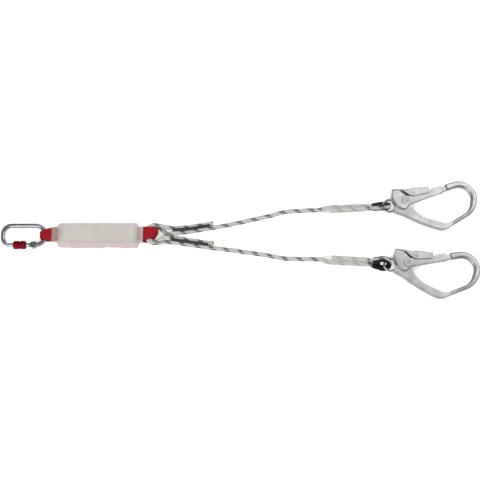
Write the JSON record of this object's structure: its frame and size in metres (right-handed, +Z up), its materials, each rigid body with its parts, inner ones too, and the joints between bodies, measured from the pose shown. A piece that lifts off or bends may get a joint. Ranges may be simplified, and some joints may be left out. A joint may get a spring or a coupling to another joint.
{
  "type": "shock absorbing lanyard",
  "caption": "Forked rope lanyard with a film-wrapped webbing energy absorber, a screw-gate connector and scaffold hooks on thimbled rope legs, for fall arrest.",
  "frame": {"origin": "centre of the absorber pack's underside, on the table", "axes": "+X along the lanyard from the connector to the hooks, +Z up from the table"},
  "size_m": [1.1209, 0.286, 0.04],
  "materials": {
    "film": "milky clear film",
    "webbing": "woven",
    "card": "bare",
    "thread": "sewn",
    "plated_steel": "bright plated",
    "red_sleeve": "anodised",
    "rope": "braided, dark flecks",
    "shrink": "shrunk film",
    "thimble": "moulded",
    "forged_alloy": "forged, tumbled",
    "lever_sheet": "pressed"
  },
  "bodies": {
    "absorber": {"absorber_cover": "film", "tear_webbing": "webbing", "backup_webbing": "webbing", "label_card": "card", "harness_loop": "webbing", "harness_loop_stitching": "thread", "leg_loop": "webbing", "leg_loop_stitching": "thread"},
    "connector": {"connector_frame": "plated_steel", "connector_gate_pin": "plated_steel"},
    "connector_gate": {"connector_gate": "plated_steel", "connector_gate_spring": "plated_steel"},
    "connector_sleeve": {"connector_screw_sleeve": "red_sleeve"},
    "upper_leg": {"upper_leg_eye": "rope", "upper_leg_rope": "rope", "upper_leg_stitching": "thread", "upper_leg_hook_bight": "rope", "upper_leg_hook_stitching": "thread", "upper_leg_shrink_sleeve": "shrink", "upper_leg_thimble": "thimble"},
    "upper_hook": {"upper_hook_body": "forged_alloy", "upper_hook_gate_pin": "plated_steel", "upper_hook_gate_spring": "plated_steel"},
    "upper_hook_gate": {"upper_hook_gate": "forged_alloy", "upper_hook_lever_pin": "plated_steel", "upper_hook_lever_spring": "plated_steel"},
    "upper_hook_lever": {"upper_hook_lock_lever": "lever_sheet"},
    "lower_leg": {"lower_leg_eye": "rope", "lower_leg_rope": "rope", "lower_leg_stitching": "thread", "lower_leg_hook_bight": "rope", "lower_leg_hook_stitching": "thread", "lower_leg_shrink_sleeve": "shrink", "lower_leg_thimble": "thimble"},
    "lower_hook": {"lower_hook_body": "forged_alloy", "lower_hook_gate_pin": "plated_steel", "lower_hook_gate_spring": "plated_steel"},
    "lower_hook_gate": {"lower_hook_gate": "forged_alloy", "lower_hook_lever_pin": "plated_steel", "lower_hook_lever_spring": "plated_steel"},
    "lower_hook_lever": {"lower_hook_lock_lever": "lever_sheet"}
  },
  "joints": [
    {"name": "connector_swing", "type": "hinge", "parent": "absorber", "child": "connector", "pos_m": [-0.14625, 0, 0.01], "axis": [0, 0, 1], "range_deg": [-35, 35]},
    {"name": "connector_gate_hinge", "type": "hinge", "parent": "connector", "child": "connector_gate", "pos_m": [-0.151, -0.0235, 0.01], "axis": [0, 0, -1], "range_deg": [0, 28], "stiffness_Nm_per_rad": 0.15, "springref_deg": -17.19},
    {"name": "connector_sleeve_travel", "type": "slide", "parent": "connector_gate", "child": "connector_sleeve", "axis": [-1, 0, 0], "range_m": [0, 0.011]},
    {"name": "upper_leg_swing", "type": "hinge", "parent": "absorber", "child": "upper_leg", "pos_m": [0.134, 0.0015, 0.0156], "axis": [0, 0, 1], "range_deg": [0, 60]},
    {"name": "upper_hook_swing", "type": "hinge", "parent": "upper_leg", "child": "upper_hook", "pos_m": [0.684, 0.07, 0.0183], "axis": [0.0516, 0, 0.9987], "range_deg": [-10, 50]},
    {"name": "upper_hook_gate_hinge", "type": "hinge", "parent": "upper_hook", "child": "upper_hook_gate", "pos_m": [0.72395, 0.082, 0.01624], "axis": [-0.0516, 0, -0.9987], "range_deg": [0, 38], "stiffness_Nm_per_rad": 0.4, "springref_deg": -22.92},
    {"name": "upper_hook_lever_press", "type": "hinge", "parent": "upper_hook_gate", "child": "upper_hook_lever", "pos_m": [0.74092, 0.101, 0.01536], "axis": [-0.0516, 0, -0.9987], "range_deg": [0, 7], "stiffness_Nm_per_rad": 0.5, "springref_deg": -11.46},
    {"name": "lower_leg_swing", "type": "hinge", "parent": "absorber", "child": "lower_leg", "pos_m": [0.134, 0.0015, 0.0156], "axis": [0, 0, 1], "range_deg": [-60, 0]},
    {"name": "lower_hook_swing", "type": "hinge", "parent": "lower_leg", "child": "lower_hook", "pos_m": [0.6805, -0.073, 0.0183], "axis": [0.0507, -0.0093, 0.9987], "range_deg": [-50, 10]},
    {"name": "lower_hook_gate_hinge", "type": "hinge", "parent": "lower_hook", "child": "lower_hook_gate", "pos_m": [0.72196, -0.06841, 0.01624], "axis": [-0.0507, 0.0093, -0.9987], "range_deg": [0, 38], "stiffness_Nm_per_rad": 0.4, "springref_deg": -22.92},
    {"name": "lower_hook_lever_press", "type": "hinge", "parent": "lower_hook_gate", "child": "lower_hook_lever", "pos_m": [0.74208, -0.05278, 0.01536], "axis": [-0.0507, 0.0093, -0.9987], "range_deg": [0, 7], "stiffness_Nm_per_rad": 0.5, "springref_deg": -11.46}
  ]
}
